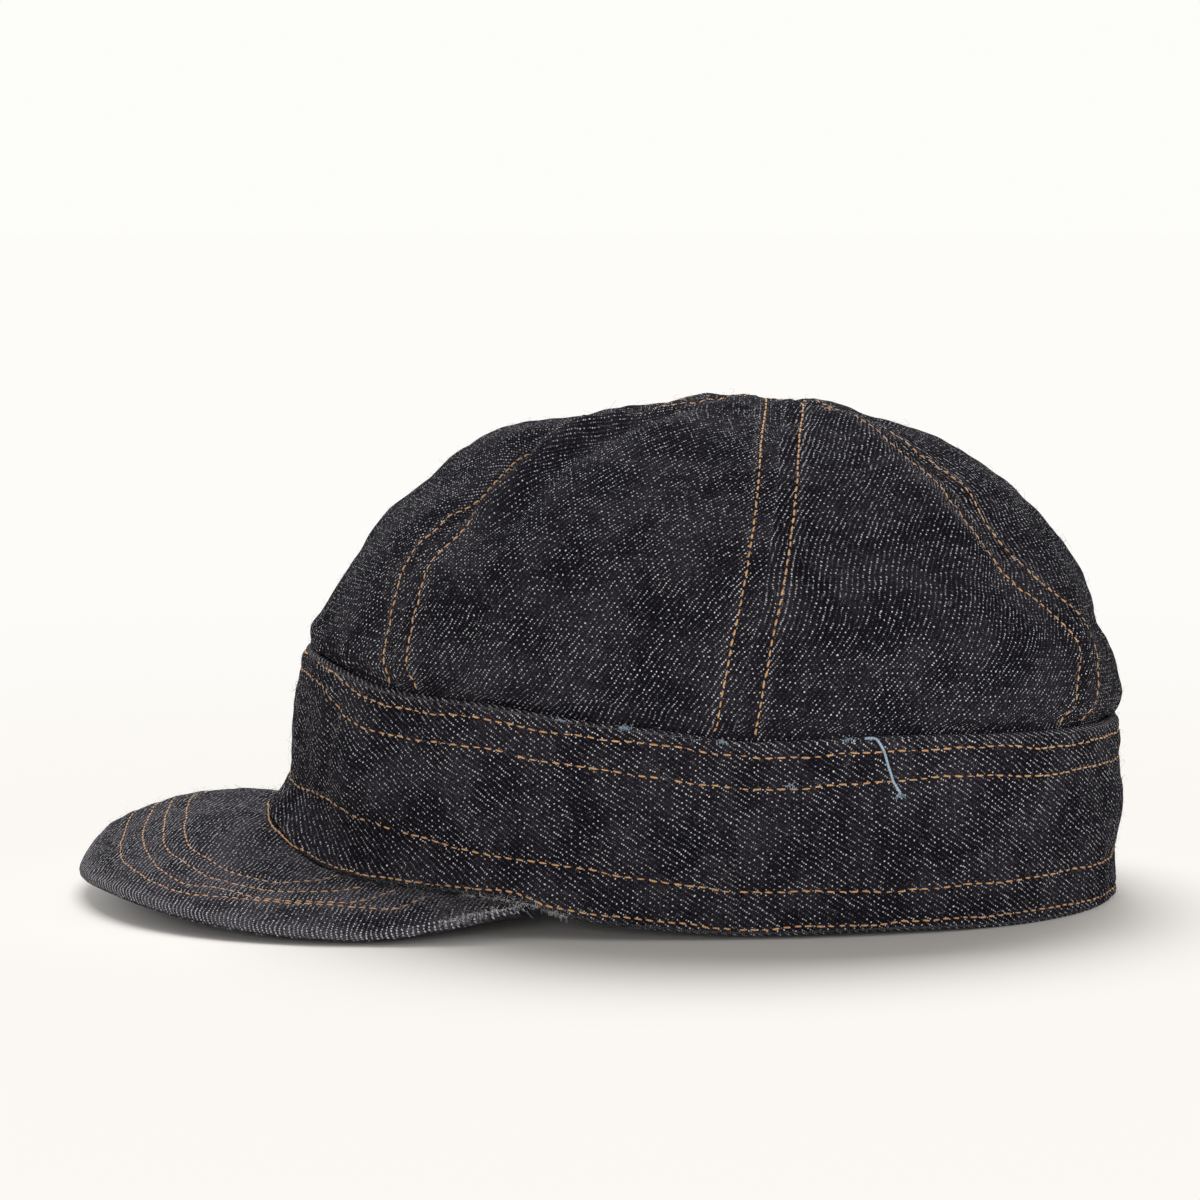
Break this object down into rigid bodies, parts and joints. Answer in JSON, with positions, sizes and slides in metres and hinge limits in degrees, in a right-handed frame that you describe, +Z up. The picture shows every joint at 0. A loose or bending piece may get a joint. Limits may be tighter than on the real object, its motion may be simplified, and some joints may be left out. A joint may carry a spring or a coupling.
{
  "type": "work cap",
  "caption": "Black denim work cap: a soft crown of six gores on a deep stitched head band, with a short stiff stitched peak.",
  "frame": {"origin": "on the surface that the cap rests on, midway between the tip of the peak and the back, and midway across", "axes": "+X to the wearer's left, -Y forward over the peak, +Z up"},
  "size_m": [0.1688, 0.2591, 0.1225],
  "materials": {
    "denim_crown": "matte napped black twill",
    "denim_band": "matte napped black twill",
    "denim_peak": "matte napped black twill, rubbed grey"
  },
  "bodies": {
    "root": {"crown_front": "denim_crown", "crown_front_left": "denim_crown", "crown_back_left": "denim_crown", "crown_back": "denim_crown", "crown_back_right": "denim_crown", "crown_front_right": "denim_crown", "band_front": "denim_band", "band_back": "denim_band", "peak": "denim_peak"}
  },
  "joints": []
}
